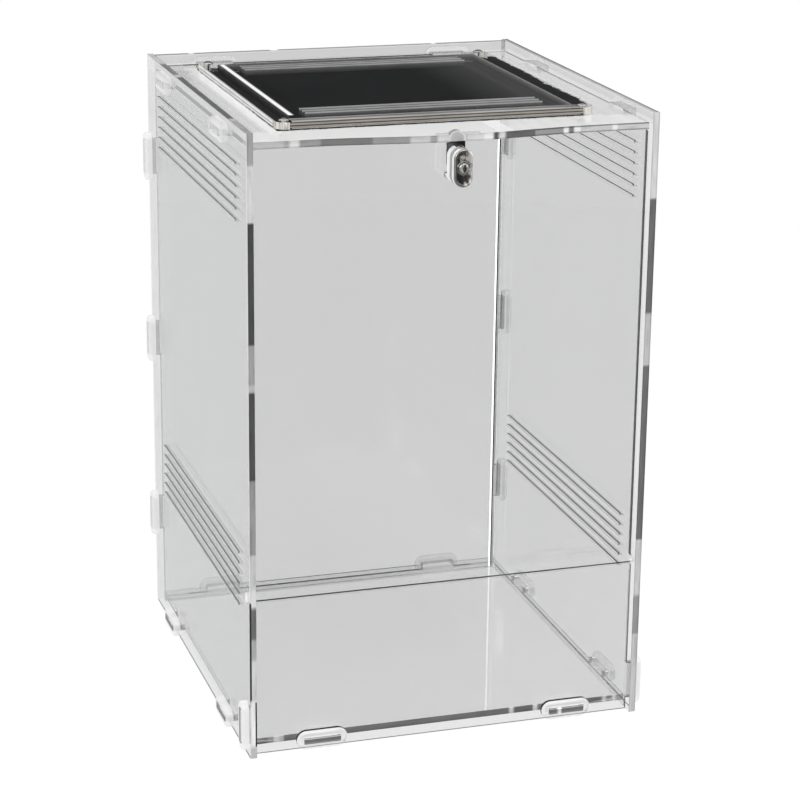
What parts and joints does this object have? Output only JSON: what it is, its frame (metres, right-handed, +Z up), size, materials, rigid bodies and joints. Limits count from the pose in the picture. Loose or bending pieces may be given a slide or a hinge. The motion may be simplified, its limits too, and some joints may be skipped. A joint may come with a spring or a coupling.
{
  "type": "reptile terrarium",
  "caption": "Tall clear acrylic reptile terrarium with slotted side vents, a meshed roof vent and a bottom-hinged front door with a cam lock.",
  "frame": {"origin": "middle of the object's footprint, on the table", "axes": "+Z up, +Y towards the back, +X to the right as seen from the front"},
  "size_m": [0.311, 0.3372, 0.46],
  "materials": {
    "clear_sheet": "polished clear acrylic sheet",
    "clear_clip": "clear moulded plastic, slightly milky",
    "mesh": "matte black woven mesh",
    "chrome": "bright plating",
    "steel": "bright machine screw"
  },
  "bodies": {
    "frame": {"left_side_panel": "clear_sheet", "right_side_panel": "clear_sheet", "back_panel": "clear_sheet", "floor_panel": "clear_sheet", "roof_panel": "clear_sheet", "lower_front_panel": "clear_sheet", "floor_front_clips": "clear_clip", "floor_rear_clips": "clear_clip", "floor_left_clips": "clear_clip", "floor_right_clips": "clear_clip", "back_left_clips": "clear_clip", "back_right_clips": "clear_clip", "front_left_clip": "clear_clip", "front_right_clip": "clear_clip", "roof_left_clips": "clear_clip", "roof_right_clips": "clear_clip", "roof_rear_clips": "clear_clip", "vent_mesh": "mesh", "vent_frame": "clear_sheet", "vent_plate": "clear_sheet", "vent_screws": "steel", "vent_washers": "steel", "vent_nuts": "steel"},
    "door": {"front_door": "clear_sheet", "lock_housing": "chrome", "lock_screws": "steel"},
    "lock_rotor": {"lock_plug": "chrome", "lock_cam": "chrome", "cam_screw": "steel"}
  },
  "joints": [
    {"name": "door_hinge", "type": "hinge", "parent": "frame", "child": "door", "pos_m": [0, -0.1429, 0.122], "axis": [1, 0, 0], "range_deg": [0, 105]},
    {"name": "lock_turn", "type": "hinge", "parent": "door", "child": "lock_rotor", "pos_m": [0, -0.1459, 0.431], "axis": [0, 1, 0], "range_deg": [0, 90]}
  ]
}
